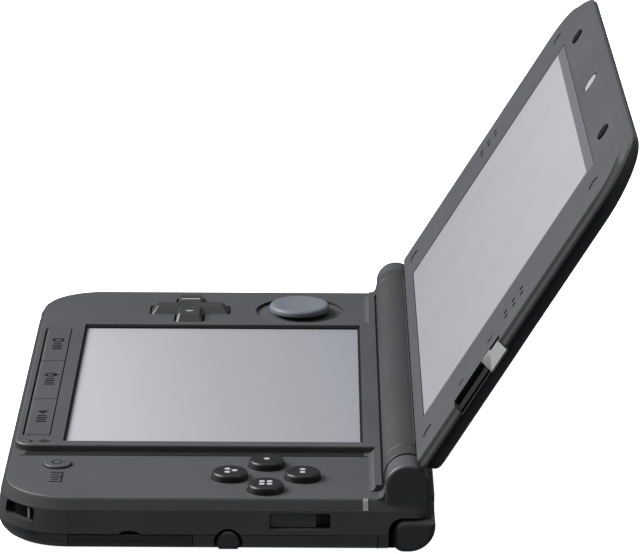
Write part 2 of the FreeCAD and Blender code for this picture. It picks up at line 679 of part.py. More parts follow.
def shoulder_springs():
    """Return springs round the pins: three turns of flat wire, joined on one side."""
    x, y = SHOULDER_PIN
    inner_r, outer_r, height = 1.3, 1.7, 0.25
    turns = [cut(disc(SHOULDER_PIN, outer_r, z, z + height), disc(SHOULDER_PIN, inner_r, z - 0.1, z + 0.4))
             for z in (6.8, 7.25, 7.7)]
    join = box(x + inner_r + 0.03, x + outer_r - 0.03, y - 0.3, y + 0.3, 6.8, 7.7 + height)
    return pair(fuse(join, *turns))


def wireless_switch():
    y0, y1 = WIRELESS_Y
    z0, z1 = SWITCH_Z
    knob = box(74.1, 76.6, y0, y1, z0, z1)
    knob = knob.makeFillet(0.5, edges_along(knob, "x"))
    return fuse(knob, box(73.4, 74.3, y0 - 1.1, y1 + 1.1, 5.9, 9.3))


def volume_slider():
    y0, y1 = VOLUME_Y
    z0, z1 = SWITCH_Z
    knob = box(-77.3, -73.8, y0, y1, z0, z1)
    knob = knob.makeFillet(0.5, edges_along(knob, "x"))
    ridges = [box(-78.0, -77.0, y0 + 1.0 + k, y0 + 1.4 + k, z0, z1) for k in range(3)]
    return cut(fuse(knob, box(-74.3, -73.4, y0 - 0.9, y1 + 0.9, 5.9, 9.3)), *ridges)


def stylus():
    y, z = STYLUS
    head = stylus_notch(0.0).common(box(74.0, 77.9, y - 4, y + 4, 0, 9))
    head = head.makeFillet(0.5, edges_at(head, "x", 77.9))
    shaft = rod_x(-14.0, 74.5, y, z, STYLUS_R)
    tip = Part.makeCone(STYLUS_R, 0.6, 3.0, V(-14.0, y, z), -X_AXIS)
    return fuse(head, shaft, tip)


def sd_door():
    return lower_envelope().common(box(75.5, 79.0, *DOOR_Y, 2.45, COVER_TOP_Z - 0.1))


# ---------------------------------------------------------------- hinge
def hinge_clutch_shaft():
    """Right pivot: keyed into the base knuckle, with a thin shaft that reaches into the lid's clutch."""
    return fuse(rod_x(RING_X[1] + 0.6, 74.2, HINGE_Y, HINGE_Z, INSERT_R),
                rod_x(57.0, 70.0, HINGE_Y, HINGE_Z, SHAFT_R))


def hinge_clutch_housing():
    return cut(rod_x(55.5, 68.6, HINGE_Y, HINGE_Z, INSERT_R),
               rod_x(56.5, 69.0, HINGE_Y, HINGE_Z, SHAFT_R + 0.08))


def hinge_bush():
    """Left pivot: a hollow bush that also passes the display ribbon."""
    return cut(rod_x(-74.2, -58.0, HINGE_Y, HINGE_Z, INSERT_R), rod_x(-75.0, -57.0, HINGE_Y, HINGE_Z, 2.1))


def hinge_barrel():
    """Lid half of the hinge: a hollow barrel with the web that carries the lid."""
    barrel = rod_x(-BARREL_X, BARREL_X, 0, 0, BARREL_R)
    barrel = barrel.makeFillet(0.25, edges_at(barrel, "x", -BARREL_X) + edges_at(barrel, "x", BARREL_X))
    web = box(-BARREL_X + 0.4, BARREL_X - 0.4, 3.6, LID_FOOT - 0.05, -3.0, LID_FACE)
    cuts = [rod_x(-55.0, 55.0, 0, 0, 3.6), rod_x(-64.0, 64.0, 0, 0, SOCKET_R),
            box(-51.0, -33.0, 3.0, 8.0, -1.1, -0.1)]
    return on_lid(cut(fuse(barrel, web), *cuts))


def barrel_end_rings():
    ring = cut(rod_x(*RING_X, 0, 0, BARREL_R), rod_x(63.0, 69.0, 0, 0, SOCKET_R))
    rims = [e for e in edges_at(ring, "x", RING_X[0]) + edges_at(ring, "x", RING_X[1]) if e.Length > 28]
    return on_lid(pair(ring.makeFillet(0.25, rims)))


def display_ribbon():
    """Ribbon coiled once inside the barrel, with its tail through the web into the lid."""
    coil = cut(rod_x(-50.0, -34.0, 0, 0, 3.2), rod_x(-51.0, -33.0, 0, 0, 3.05))
    tail = box(-50.0, -34.0, 3.05, 9.5, -0.75, -0.6)
    return on_lid(fuse(coil, tail))


# ---------------------------------------------------------------- lid: housing
def lid_inner_frame():
    sections = []
    for n, side, top in FRAME_EDGE:
        half = 77.6 - side
        foot = LID_FOOT + 0.17 * side
        sections.append(outline(-half, half, foot, 85.8 - top, n, 1.8 - 0.3 * side, 14.6 - top))
    body = Part.makeLoft(sections, True, True)
    half, low, high = LID_SCREEN
    holes = [box(-half, half, low, high, -1.0, 2.0),
             box(72.2, 80.0, *SLIDER_TRACK_T, -0.3, 2.0),
             box(76.5, 80.0, *SLIDER_TRACK_T, -1.0, 0.0),
             disc((0, CAMERA_T), LENS_R + 0.05, -1.0, 2.0)]
    for side in (-1, 1):
        holes += [disc((side * x, t), 0.65, -1.0, 2.0) for x in (64.5, 67.5) for t in (40.0, 43.0, 46.0)]
        for (x, t), r in (((BUMPER_X, CAMERA_T), BUMPER_R + 0.05), (SCREW_PAD, 1.65)):
            holes.append(disc((side * x, t), r, 0.0, 2.0))
            holes.append(disc((side * x, t), 0.85, -1.0, 2.0))
        holes.append(disc((side * TOP_PAD[0], TOP_PAD[1]), 1.65, 0.65, 2.0))
    return on_lid(cut(body, *holes))


def lid_outer_shell():
    crown = [(-0.75, 0.5), (-1.4, 0.45), (-2.2, 1.0), (-3.0, 2.0), (-3.8, 3.8), (-4.5, 6.5), (LID_BACK, 12.0)]
    sections = []
    for n, inset in smooth_profile(crown, 14):
        half = HALF_W - inset
        sections.append(outline(-half, half, LID_FOOT + 0.35 * inset, LID_TOP - inset, n,
                                max(4.0 - inset, 0.5), max(15.0 - 0.6 * inset, 3.0)))
    crowned = Part.makeLoft(sections, True, True)
    hollow = cut(crowned, slab(-75.2, 75.2, 7.2, 83.5, -2.6, 0.0, 2.5, 12.5),
                 slab(-69.5, 69.5, 9.6, 79.6, -4.1, -2.5, 2.5, 11.0))
    places = [(s * x, t) for s in (-1, 1) for x, t in ((BUMPER_X, CAMERA_T), SCREW_PAD)]
    bosses = [disc(place, 2.2, -4.3, -0.75).common(crowned) for place in places]
    threads = [disc(place, 0.85, -3.5, 0.0) for place in places]
    lenses = [disc((s * REAR_CAMERA[0], REAR_CAMERA[1]), 3.0, -9.0, -4.0) for s in (-1, 1)]
    return on_lid(cut(fuse(hollow, *bosses), *threads, *lenses))


def lid_screws():
    made = []
    for side in (-1, 1):
        for x, t in ((BUMPER_X, CAMERA_T), SCREW_PAD):
            head = disc((side * x, t), 1.5, 0.05, 0.6)
            made.append(fuse(head, disc((side * x, t), 0.8, -3.3, 0.1)))
    return on_lid(Part.makeCompound(made))


def lid_bumpers():
    """Two round bumpers by the camera and four round pads, a little sunk, near the corners."""
    made = []
    for side in (-1, 1):
        stud = disc((side * BUMPER_X, CAMERA_T), BUMPER_R, 0.65, 1.55)
        made.append(stud.makeFillet(0.3, edges_at(stud, "z", 1.55)))
        for x, t in (SCREW_PAD, TOP_PAD):
            made.append(disc((side * x, t), 1.6, 0.65, 0.9))
    return on_lid(Part.makeCompound(made))


# ---------------------------------------------------------------- lid: screen, cameras, sound
def upper_screen_window():
    return on_lid(box(-54.2, 54.2, 9.0, 74.65, 0.35, 1.05))


def upper_lcd():
    return on_lid(box(-54.0, 54.0, 9.6, 74.6, -2.4, 0.3))


def camera_module():
    board = box(-21.0, 21.0, 75.2, 82.6, -2.5, -1.7)
    inner = disc((0, CAMERA_T), 2.1, -1.8, 0.2)
    rear = [disc((s * REAR_CAMERA[0], REAR_CAMERA[1] + 0.4), 2.7, -4.0, -2.45) for s in (-1, 1)]
    return on_lid(fuse(board, inner, *rear))


def camera_lenses():
    inner = disc((0, CAMERA_T), LENS_R, 0.25, 1.05)
    rear = [disc((s * REAR_CAMERA[0], REAR_CAMERA[1]), 2.9, -4.75, -4.1) for s in (-1, 1)]
    return on_lid(Part.makeCompound([inner] + rear))


def speakers():
    return on_lid(pair(soft_box(*SPEAKER_X, *SPEAKER_T, -3.9, -0.7, 2.0)))


def slider_tier(t0, t1, crest_x, crest_n):
    """Length of the slider with a sloping top and a short skirt outside the lid's edge."""
    foot_n, step_n, skirt_n = -0.15, -0.62, -1.15
    inner_x, step_x, skirt_x = 73.3, 76.6, 77.65
    section = [(inner_x, foot_n), (inner_x, 0.9), (crest_x, crest_n), (HALF_W, -0.75), (HALF_W, skirt_n),
               (skirt_x, skirt_n), (skirt_x, step_n), (step_x, step_n), (step_x, foot_n), (inner_x, foot_n)]
    wire = Part.makePolygon([V(x, t0, n) for x, n in section])
    return Part.Face(wire).extrude(V(0, t1 - t0, 0))


def depth_slider():
    """Two-tier knob in its track on the right edge of the lid face."""
    t0, t1 = SLIDER_T
    waist = t0 + 3.0
    low = slider_tier(t0, waist, 75.0, 1.6)
    high = slider_tier(waist - 0.1, t1, 75.5, 1.25)
    return on_lid(fuse(low, high))


# ---------------------------------------------------------------- export
BASE_PARTS = [
    base_top_shell, base_bottom_shell, battery_cover, rubber_feet, case_screws, cover_screws,
    battery_pack, main_board, board_components, lower_lcd, touch_panel, charge_port, infrared_window,
    headphone_jack, sd_socket, sd_card, game_card_slot, status_light_window, light_pipes,
    face_membrane, dpad_membrane, system_membrane, circle_pad_module, shoulder_pins, shoulder_springs,
    hinge_clutch_shaft, hinge_bush,
]
LID_PARTS = [
    lid_inner_frame, lid_outer_shell, hinge_barrel, barrel_end_rings, hinge_clutch_housing,
    display_ribbon, lid_screws, lid_bumpers, upper_screen_window, upper_lcd, camera_module,
    camera_lenses, speakers,
]
MOVING_PARTS = [
    depth_slider, dpad_pivot, dpad_key, circle_pad_carriage, circle_pad_cap, power_button,
    wireless_switch, volume_slider, stylus, sd_door,
]


def export(name, shape):
    placed = shape.copy()
    placed.translate(V(0, -CENTRE_Y, 0))
    placed.exportStep(os.path.join("parts", name + ".step"))


os.makedirs("parts", exist_ok=True)
for build in BASE_PARTS + LID_PARTS + MOVING_PARTS:
    export(build.__name__, build())
for side in face_places():
    export("face_button_" + side, face_button(side))
for label in STRIP_X:
    export(label + "_button", system_button(label))
export("shoulder_button_right", shoulder_button())
export("shoulder_button_left", mirrored(shoulder_button()))
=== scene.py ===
import json
import math
import bmesh
import bpy
from mathutils import Matrix, Vector


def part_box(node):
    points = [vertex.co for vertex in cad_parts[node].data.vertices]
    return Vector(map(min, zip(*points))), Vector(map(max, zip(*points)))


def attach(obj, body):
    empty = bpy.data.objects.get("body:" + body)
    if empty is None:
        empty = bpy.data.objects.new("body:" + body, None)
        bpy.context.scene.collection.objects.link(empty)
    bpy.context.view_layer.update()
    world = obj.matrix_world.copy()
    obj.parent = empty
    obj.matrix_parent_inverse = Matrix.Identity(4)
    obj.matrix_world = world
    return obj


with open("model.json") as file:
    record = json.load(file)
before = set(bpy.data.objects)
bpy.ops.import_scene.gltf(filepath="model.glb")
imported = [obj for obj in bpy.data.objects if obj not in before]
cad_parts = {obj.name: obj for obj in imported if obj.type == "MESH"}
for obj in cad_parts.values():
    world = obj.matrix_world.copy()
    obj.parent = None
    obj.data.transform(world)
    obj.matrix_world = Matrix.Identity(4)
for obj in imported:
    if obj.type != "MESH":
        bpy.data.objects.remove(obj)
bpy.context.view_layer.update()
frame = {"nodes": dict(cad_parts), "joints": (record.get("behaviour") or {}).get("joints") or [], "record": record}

MM = 0.001
scene = bpy.context.scene
nodes = frame["nodes"]

# ---------------------------------------------------------------- places taken from the frame
hinge = next(j for j in frame["joints"] if j["name"] == "lid_hinge")
slide = next(j for j in frame["joints"] if j["name"] == "depth_slide")
HINGE = Vector(hinge["pos_m"])
LID_UP = Vector(slide["axis"]).normalized()
LID_OUT = Vector((1, 0, 0)).cross(LID_UP)
ACROSS = Vector((1, 0, 0))
AWAY = Vector((0, 1, 0))
UP = Vector((0, 0, 1))
LID_FACE = 1.1 * MM       # inner face of the lid, from the hinge axis
TRACK = (19.8, 36.9)      # ends of the depth slider's track, up the lid, in millimetres
LOWER_OPENING = (85.8, 64.8, -21.77)   # window in the deck: width, depth, middle along Y
UPPER_OPENING = (108.9, 66.15, 41.825)   # window in the lid: width, height, middle up the lid
POCKET = Vector((62.5, -51.27, 8.7)) * MM   # middle of the rounding that the light window follows
DECK_TOP = 12.4           # deck above the ground
SHELL_FOOT = 0.6          # lowest point of base_bottom_shell above the ground
SURROUND_RISE = 1.5       # raised surround of the lower display above the deck
FOOT_SHADE_X = 46.65            # middle of each black strip of painted shade beside that surround, from the centre
MICROPHONE_X = 43.2       # microphone mark, from the centre
INNER_LENS_UP = 79.6      # inner camera lens, up the lid
FRAME_SIDE = 75.3         # where the lid's face turns into its side edge, from the centre
TRACK_WALL = 72.2         # inner side of the depth slider's track, from the centre
PICTURE_UP = (8.2, 72.0)  # area of the upper display inside its dark border, where a reflection is painted: foot and head, up the lid
PICTURE_SIDE = 53.15      # and half its width
BASE_MIDDLE = -20.27      # middle of the base along Y


def on_lid(x, up, out=LID_FACE):
    """Point on the lid: millimetres across it and up it from the hinge axis, metres out of it."""
    return Vector((x * MM, HINGE.y, HINGE.z)) + LID_UP * up * MM + LID_OUT * out


deck_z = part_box("base_bottom_shell")[0].z + (DECK_TOP - SHELL_FOOT) * MM
surround_z = deck_z + SURROUND_RISE * MM


def top_of(node):
    low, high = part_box(node)
    return Vector(((low.x + high.x) / 2, (low.y + high.y) / 2, high.z))


# ---------------------------------------------------------------- camera, light, floor
def add_camera():
    """Long lens from the right-hand side, a little above the deck."""
    data = bpy.data.cameras.new("camera")
    camera = bpy.data.objects.new("camera", data)
    scene.collection.objects.link(camera)
    data.sensor_width = 36.0
    data.lens = 224.48
    data.clip_start, data.clip_end = 0.05, 20.0
    right = Vector((-0.00137789, 0.99998724, 0.00485933))
    up = Vector((-0.28252767, -0.00505065, 0.95924585))
    axes = Matrix((right, up, right.cross(up))).transposed()
    camera.matrix_world = Matrix.Translation(Vector((859.43, 1.147, 291.537)) * MM) @ axes.to_4x4()
    scene.camera = camera


def add_light(name, place, aim, size, watts):
    data = bpy.data.lights.new(name, "AREA")
    data.shape = "RECTANGLE"
    data.size, data.size_y = size
    data.energy = watts
    lamp = bpy.data.objects.new(name, data)
    scene.collection.objects.link(lamp)
    lamp.location = place
    lamp.rotation_euler = (Vector(aim) - Vector(place)).to_track_quat("-Z", "Y").to_euler()


def add_world():
    """White all round for the eye, but a dimmer room as a source of light."""
    world = bpy.data.worlds.new("studio")
    scene.world = world
    world.use_nodes = True
    tree = world.node_tree
    room = tree.nodes["Background"]
    room.inputs["Color"].default_value = (0.92, 0.96, 1.0, 1)
    room.inputs["Strength"].default_value = 0.13
    backdrop = tree.nodes.new("ShaderNodeBackground")
    backdrop.inputs["Color"].default_value = (1, 1, 1, 1)
    backdrop.inputs["Strength"].default_value = 1.0
    rays = tree.nodes.new("ShaderNodeLightPath")
    mix = tree.nodes.new("ShaderNodeMixShader")
    tree.links.new(rays.outputs["Is Camera Ray"], mix.inputs[0])
    tree.links.new(room.outputs[0], mix.inputs[1])
    tree.links.new(backdrop.outputs[0], mix.inputs[2])
    tree.links.new(mix.outputs[0], tree.nodes["World Output"].inputs["Surface"])


def add_floor():
    """Pale sweep of paper under the object."""
    half = 6.0
    mesh = bpy.data.meshes.new("floor")
    corners = [(-half, -half, 0), (half, -half, 0), (half, half, 0), (-half, half, 0)]
    mesh.from_pydata(corners, [], [(0, 1, 2, 3)])
    floor = bpy.data.objects.new("floor", mesh)
    scene.collection.objects.link(floor)
    floor.location.z = -0.0001
    floor.visible_diffuse = False
    floor.visible_glossy = False
    paper = Finish("floor_paper")
    paper.colour(paper.ramp(paper.noise(3.0, 2.0), [(0.3, (0.96, 0.96, 0.965)), (0.7, (0.99, 0.99, 0.99))]))
    paper.set("Roughness", 0.9)
    paper.set("Emission Color", (1, 1, 1, 1))
    paper.set("Emission Strength", 0.97)
    mesh.materials.append(paper.material)


# ---------------------------------------------------------------- finishes
class Finish:
    """A node material whose patterns are laid out in millimetres on the object itself."""

    def __init__(self, name):
        self.material = bpy.data.materials.new(name)
        self.material.use_nodes = True
        self.tree = self.material.node_tree
        self.shader = self.tree.nodes["Principled BSDF"]
        place = self.add("ShaderNodeTexCoord").outputs["Object"]
        self.place = self.math_vector("SCALE", place, scale=1 / MM)

    def add(self, kind):
        return self.tree.nodes.new(kind)

    def link(self, source, target):
        self.tree.links.new(source, target)

    def set(self, socket, value):
        self.shader.inputs[socket].default_value = value

    def colour(self, source):
        self.link(source, self.shader.inputs["Base Color"])

    def rough(self, source):
        self.link(source, self.shader.inputs["Roughness"])

    def math_vector(self, operation, a, b=None, scale=None):
        node = self.add("ShaderNodeVectorMath")
        node.operation = operation
        self.link(a, node.inputs[0])
        if b is not None:
            node.inputs[1].default_value = b
        if scale is not None:
            node.inputs["Scale"].default_value = scale
        return node.outputs["Value"] if operation == "DOT_PRODUCT" else node.outputs["Vector"]

    def math(self, operation, a, b):
        node = self.add("ShaderNodeMath")
        node.operation = operation
        for socket, value in zip(node.inputs, (a, b)):
            if isinstance(value, (int, float)):
                socket.default_value = value
            else:
                self.link(value, socket)
        return node.outputs[0]

    def stretched(self, factors):
        """The place with each axis scaled, for streaks and brushing."""
        return self.math_vector("MULTIPLY", self.place, factors)

    def noise(self, size_mm, detail, place=None, roughness=0.5):
        node = self.add("ShaderNodeTexNoise")
        self.link(place or self.place, node.inputs["Vector"])
        node.inputs["Scale"].default_value = 1 / size_mm
        node.inputs["Detail"].default_value = detail
        node.inputs["Roughness"].default_value = roughness
        return node.outputs["Fac"]

    def cells(self, size_mm):
        node = self.add("ShaderNodeTexVoronoi")
        self.link(self.place, node.inputs["Vector"])
        node.inputs["Scale"].default_value = 1 / size_mm
        return node.outputs["Distance"]

    def along(self, direction, origin):
        """Distance in millimetres from a point, measured along a direction."""
        away = self.math_vector("SUBTRACT", self.place, tuple(Vector(origin) / MM))
        return self.math_vector("DOT_PRODUCT", away, tuple(direction))

    def facing(self, direction):
        """How squarely the surface faces a direction or its opposite, 0 to 1."""
        normal = self.add("ShaderNodeTexCoord").outputs["Normal"]
        return self.math("ABSOLUTE", self.math_vector("DOT_PRODUCT", normal, tuple(direction)), 0.0)

    def spread(self, source, low, high):
        """A number from low to high, clamped, out of a 0..1 pattern."""
        node = self.add("ShaderNodeMapRange")
        self.link(source, node.inputs["Value"])
        node.inputs["To Min"].default_value = low
        node.inputs["To Max"].default_value = high
        return node.outputs["Result"]

    def share(self, source, low, high):
        """0 below low, 1 above high."""
        node = self.add("ShaderNodeMapRange")
        self.link(source, node.inputs["Value"])
        node.inputs["From Min"].default_value = low
        node.inputs["From Max"].default_value = high
        return node.outputs["Result"]

    def ramp(self, source, stops):
        node = self.add("ShaderNodeValToRGB")
        self.link(source, node.inputs["Fac"])
        elements = node.color_ramp.elements
        while len(elements) < len(stops):
            elements.new(1.0)
        for element, (position, colour) in zip(elements, stops):
            element.position = position
            element.color = (*colour, 1)
        return node.outputs["Color"]

    def mix(self, share, a, b, mode="MIX"):
        node = self.add("ShaderNodeMix")
        node.data_type = "RGBA"
        node.blend_type = mode
        if isinstance(share, float):
            node.inputs["Factor"].default_value = share
        else:
            self.link(share, node.inputs["Factor"])
        for socket, value in zip((node.inputs[6], node.inputs[7]), (a, b)):
            if isinstance(value, tuple):
                socket.default_value = (*value, 1)
            else:
                self.link(value, socket)
        return node.outputs[2]

    def bump(self, height, strength, depth_mm, before=None):
        node = self.add("ShaderNodeBump")
        self.link(height, node.inputs["Height"])
        node.inputs["Strength"].default_value = strength
        node.inputs["Distance"].default_value = depth_mm * MM
        if before is not None:
            self.link(before, node.inputs["Normal"])
        self.link(node.outputs["Normal"], self.shader.inputs["Normal"])
        return node.outputs["Normal"]


def shade(colour, factor):
    """The same colour, lighter or darker."""
    return tuple(min(c * factor, 1.0) for c in colour)


def moulded(name, colour, rough, grain_mm=0.35, grain_depth=0.02, drift=0.08,
            specular=0.5, coat=0.0, area=None):
    """Moulded plastic: slow drift of tone, a fine spark-eroded grain and uneven gloss.

    area is a second colour, duller as well, and a function that gives its share at each place."""
    made = Finish(name)
    cloud = made.noise(22.0, 3.0)
    tone = made.ramp(cloud, [(0.3, shade(colour, 1 - drift)), (0.7, shade(colour, 1 + drift))])
    if area:
        share = area[1](made)
        tone = made.mix(share, tone, area[0])
    speckle = made.noise(grain_mm * 0.7, 2.0)
    flecks = made.ramp(speckle, [(0.25, (0.90, 0.90, 0.90)), (0.75, (1.0, 1.0, 1.0))])
    made.colour(made.mix(1.0, tone, flecks, "MULTIPLY"))
    gloss = made.spread(made.noise(9.0, 4.0), rough - 0.06, rough + 0.06)
    if area:
        gloss = made.math("MAXIMUM", gloss, made.spread(share, 0.0, 0.85))
    made.rough(gloss)
    made.set("Specular IOR Level", specular)
    if coat:
        made.set("Coat Weight", coat)
        made.set("Coat Roughness", 0.12)
    grain = made.bump(made.noise(grain_mm, 3.0, roughness=0.6), 0.35, grain_depth)
    made.bump(made.noise(14.0, 1.0), 0.10, 0.05, before=grain)
    return made


def brushed(name, colour, rough, streak):
    """Metal with drawn or plated streaks along one axis."""
    made = Finish(name)
    lines = made.noise(0.5, 4.0, place=made.stretched(streak))
    made.colour(made.ramp(lines, [(0.3, shade(colour, 0.82)), (0.7, shade(colour, 1.1))]))
    made.set("Metallic", 1.0)
    made.rough(made.spread(lines, rough - 0.08, rough + 0.12))
    made.bump(lines, 0.2, 0.01)
    return made


def rubber(name, colour, rough=0.75, specular=0.5, sheen=0.15, area=None):
    """Soft rubber with fine pores; area as in moulded."""
    made = Finish(name)
    tone = made.ramp(made.noise(1.8, 4.0), [(0.3, shade(colour, 0.8)), (0.7, shade(colour, 1.25))])
    if area:
        tone = made.mix(area[1](made), tone, area[0])
    made.colour(tone)
    made.rough(made.spread(made.noise(0.8, 2.0), rough - 0.08, rough + 0.08))
    made.set("Specular IOR Level", specular)
    made.set("Sheen Weight", sheen)
    made.bump(made.cells(0.22), 0.4, 0.02)
    return made


def panel(name, colour, rough, coat):
    """Face of a display: a clear sheet with faint smears, over a colour from the given function, which paints the
    reflection on the display.
    """
    made = Finish(name)
    made.colour(colour(made))
    smear = made.noise(16.0, 3.0, place=made.stretched((1.0, 0.35, 1.0)))
    made.rough(made.spread(smear, rough - 0.05, rough + 0.07))
    made.set("Specular IOR Level", 0.5)
    made.set("Coat Weight", coat)
    made.set("Coat Roughness", 0.08)
    made.bump(made.noise(0.16, 1.0), 0.04, 0.004)
    return made


# Painted reflection on the lower display: light grey, lighter towards the player.
LOWER_REFLECTION_NEAR = (0.42, 0.425, 0.445)
LOWER_REFLECTION_FAR = (0.27, 0.28, 0.31)
# Painted reflection on the upper display: light grey, lighter towards the top; UPPER_BORDER is its own dark
# border.
UPPER_REFLECTION_LOW = (0.33, 0.33, 0.352)
UPPER_REFLECTION_HIGH = (0.42, 0.42, 0.442)
UPPER_BORDER = (0.14, 0.14, 0.155)


def lower_panel_painted_reflection(made):
    """Painted reflection: lighter towards the player, with a soft diagonal fall-off."""
    low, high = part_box("touch_panel")
    depth = (high.y - low.y) / MM
    rise = made.share(made.along(Vector((-0.12, 0.99, 0)), low), 0.0, depth)
    cloud = made.spread(made.noise(30.0, 2.0), -0.04, 0.04)
    share = made.math("ADD", rise, cloud)
    return made.ramp(share, [(0.0, LOWER_REFLECTION_NEAR), (0.45, shade(LOWER_REFLECTION_NEAR, 0.80)), (1.0, LOWER_REFLECTION_FAR)])


def upper_panel_painted_reflection(made):
    """Painted reflection: a nearly even light grey area, lighter towards the top, in a dark border, which shows
    above it and at its sides.
    """
    up = made.along(LID_UP, HINGE)
    strip = made.share(up, PICTURE_UP[1] - 0.1, PICTURE_UP[1] + 0.1)
    foot = made.share(up, PICTURE_UP[0] + 0.1, PICTURE_UP[0] - 0.1)
    side = made.math("ABSOLUTE", made.along(ACROSS, (0, 0, 0)), 0.0)
    edge = made.share(side, PICTURE_SIDE - 0.1, PICTURE_SIDE + 0.1)
    rise = made.ramp(made.share(up, 8.0, 74.0), [(0.0, UPPER_REFLECTION_LOW), (1.0, UPPER_REFLECTION_HIGH)])
    border = made.math("MAXIMUM", made.math("MAXIMUM", strip, foot), edge)
    return made.mix(border, rise, UPPER_BORDER)


SHELL = (0.062, 0.063, 0.068)
# Painted shade: a darker copy of the shell plastic for faces that turn away from the light and for recesses.
PAINTED_SIDE_SHADE = (0.016, 0.016, 0.018)
# Painted shade: the hinge barrel and its end rings take a darker copy of the shell plastic.
BARREL_SHADED = (0.034, 0.035, 0.038)
# Painted light: a lighter copy of the shell plastic for the battery cover, the bottom shell, the wireless switch
# and its backing, standing in for light bounced up from the floor.
COVER_LIT = (0.11, 0.11, 0.116)
# Painted shade: black for the depth slider's track.
TRACK_SHADE = (0.016, 0.016, 0.018)
SLIDER = (0.165, 0.17, 0.175)
BLACK_RUBBER = (0.006, 0.006, 0.007)
KEY = (0.013, 0.014, 0.015)
CROSS = (0.034, 0.034, 0.037)
PAD = (0.128, 0.142, 0.165)
LENS = (0.012, 0.012, 0.018)
# Painted reflection: light grey for the inner camera lens.
LENS_REFLECTION = (0.36, 0.355, 0.36)


def turned_shade_share(made):
    """Painted shade on the surfaces of the lid that face sideways."""
    return made.share(made.facing(ACROSS), 0.10, 0.30)


def sides_shade_share(made):
    """Painted shade on the two side edges of the lid's frame and in its slider track, coloured darker than its
    face.
    """
    right = made.along(ACROSS, (0, 0, 0))
    edge = made.share(made.math("ABSOLUTE", right, 0.0), FRAME_SIDE - 0.1, FRAME_SIDE + 0.1)
    reach = (TRACK[1] - TRACK[0]) / 2
    up = made.math("ABSOLUTE", made.along(LID_UP, on_lid(0, sum(TRACK) / 2)), 0.0)
    beyond = made.share(right, TRACK_WALL - 0.05, TRACK_WALL)
    track = made.math("MULTIPLY", made.share(up, reach + 0.05, reach + 0.01), beyond)
    return made.math("MAXIMUM", made.math("MAXIMUM", turned_shade_share(made), track), edge)


def wall_shade_share(made):
    """Painted shade on the upright walls of the base towards the front corners."""
    upright = made.share(made.facing(UP), 0.55, 0.25)
    return made.math("MULTIPLY", upright, made.share(made.facing(AWAY), 0.05, 0.45))


def pocket_shade_share(made):
    """Painted shade inside the light window's pocket, which is coloured black."""
    inside = made.share(made.math("ABSOLUTE", made.along(UP, POCKET), 0.0), 1.56, 1.50)
    for normal in (Vector((-0.469, -0.883, 0)), Vector((0.883, 0.469, 0))):
        inside = made.math("MULTIPLY", inside, made.share(made.along(normal, POCKET), -0.10, 0.0))
    return inside


def band_shade_share(made):
    """Painted shade on the sloping band between the deck and the side walls."""
    below = made.share(made.along(UP, (0, 0, deck_z)), -0.01, -0.20)
    turned = made.facing(UP)
    slope = made.math("MULTIPLY", made.share(turned, 0.25, 0.45), made.share(turned, 0.98, 0.93))
    return made.math("MULTIPLY", below, slope)


def top_shell_shade_share(made):
    """Every part of the top shell that gets painted shade, darker than its deck."""
    walls = made.math("MAXIMUM", wall_shade_share(made), band_shade_share(made))
    return made.math("MAXIMUM", walls, pocket_shade_share(made))


def pads_share(made):
    """The four sunk pads of the lid, which match its face, unlike the two bumpers."""
    return made.share(made.along(LID_UP, HINGE), 77.0, 76.5)


def skirt_share(made):
    """The part of the circle pad below its cap."""
    return made.share(made.along(UP, (0, 0, deck_z)), 0.6, 0.1)


def inner_lens_reflection_share(made):
    """The lens on the inner face of the lid, coloured light grey as a painted reflection."""
    return made.share(made.along(LID_OUT, HINGE), 0.4, 0.6)


finishes = {
    # The shell and cover plastics carry painted shade on the base's upright walls.
    "shell_plastic": moulded("shell_plastic_painted_shade", SHELL, 0.48, area=(PAINTED_SIDE_SHADE, wall_shade_share)),
    "key_plastic": moulded("key_plastic_satin", KEY, 0.36, grain_mm=0.2, grain_depth=0.008, drift=0.05,
                           specular=0.38),
    "thumb_pad_plastic": moulded("thumb_pad_soft", PAD, 0.55, grain_mm=0.25, grain_depth=0.02, drift=0.04,
                                 area=(SHELL, skirt_share)),
    "slider_plastic": moulded("slider_satin", SLIDER, 0.38, grain_mm=0.2, grain_depth=0.01),
    "bumper_rubber": rubber("bumper_rubber", BLACK_RUBBER, specular=0.1, sheen=0.0,
                            area=(SHELL, pads_share)),
    "membrane_rubber": rubber("membrane_rubber", (0.35, 0.36, 0.38)),
    # The inner lens carries a painted reflection in its colour.
    "lens_glass": moulded("lens_glass", LENS, 0.08, grain_mm=3.0, grain_depth=0.003, coat=0.6,
                          area=(LENS_REFLECTION, inner_lens_reflection_share)),
    "window_plastic": moulded("window_gloss", (0.003, 0.003, 0.004), 0.16, grain_mm=2.0, grain_depth=0.004,
                              specular=0.2),
    "light_pipe_plastic": moulded("light_pipe", (0.20, 0.205, 0.21), 0.30, grain_mm=1.0, grain_depth=0.004),
    "lcd_module": moulded("display_back", (0.10, 0.10, 0.11), 0.25),
    "circuit_board": moulded("board_resist", (0.015, 0.085, 0.040), 0.35, grain_mm=0.5, drift=0.2),
    "chip_plastic": moulded("chip_epoxy", (0.025, 0.025, 0.026), 0.6),
    "battery_wrap": moulded("battery_wrap", (0.09, 0.10, 0.12), 0.45),
    "plated_steel": brushed("plated_steel", (0.50, 0.50, 0.51), 0.30, (4.0, 4.0, 0.6)),
    "stamped_steel": brushed("stamped_steel", (0.42, 0.42, 0.43), 0.38, (0.3, 4.0, 4.0)),
    "card_plastic": moulded("card_plastic", (0.04, 0.055, 0.10), 0.4),
    "ribbon_film": moulded("ribbon_film", (0.42, 0.20, 0.05), 0.3, grain_mm=0.6),
}
cover_lit_finish = moulded("cover_plastic_painted_light", COVER_LIT, 0.48, area=(PAINTED_SIDE_SHADE, wall_shade_share))
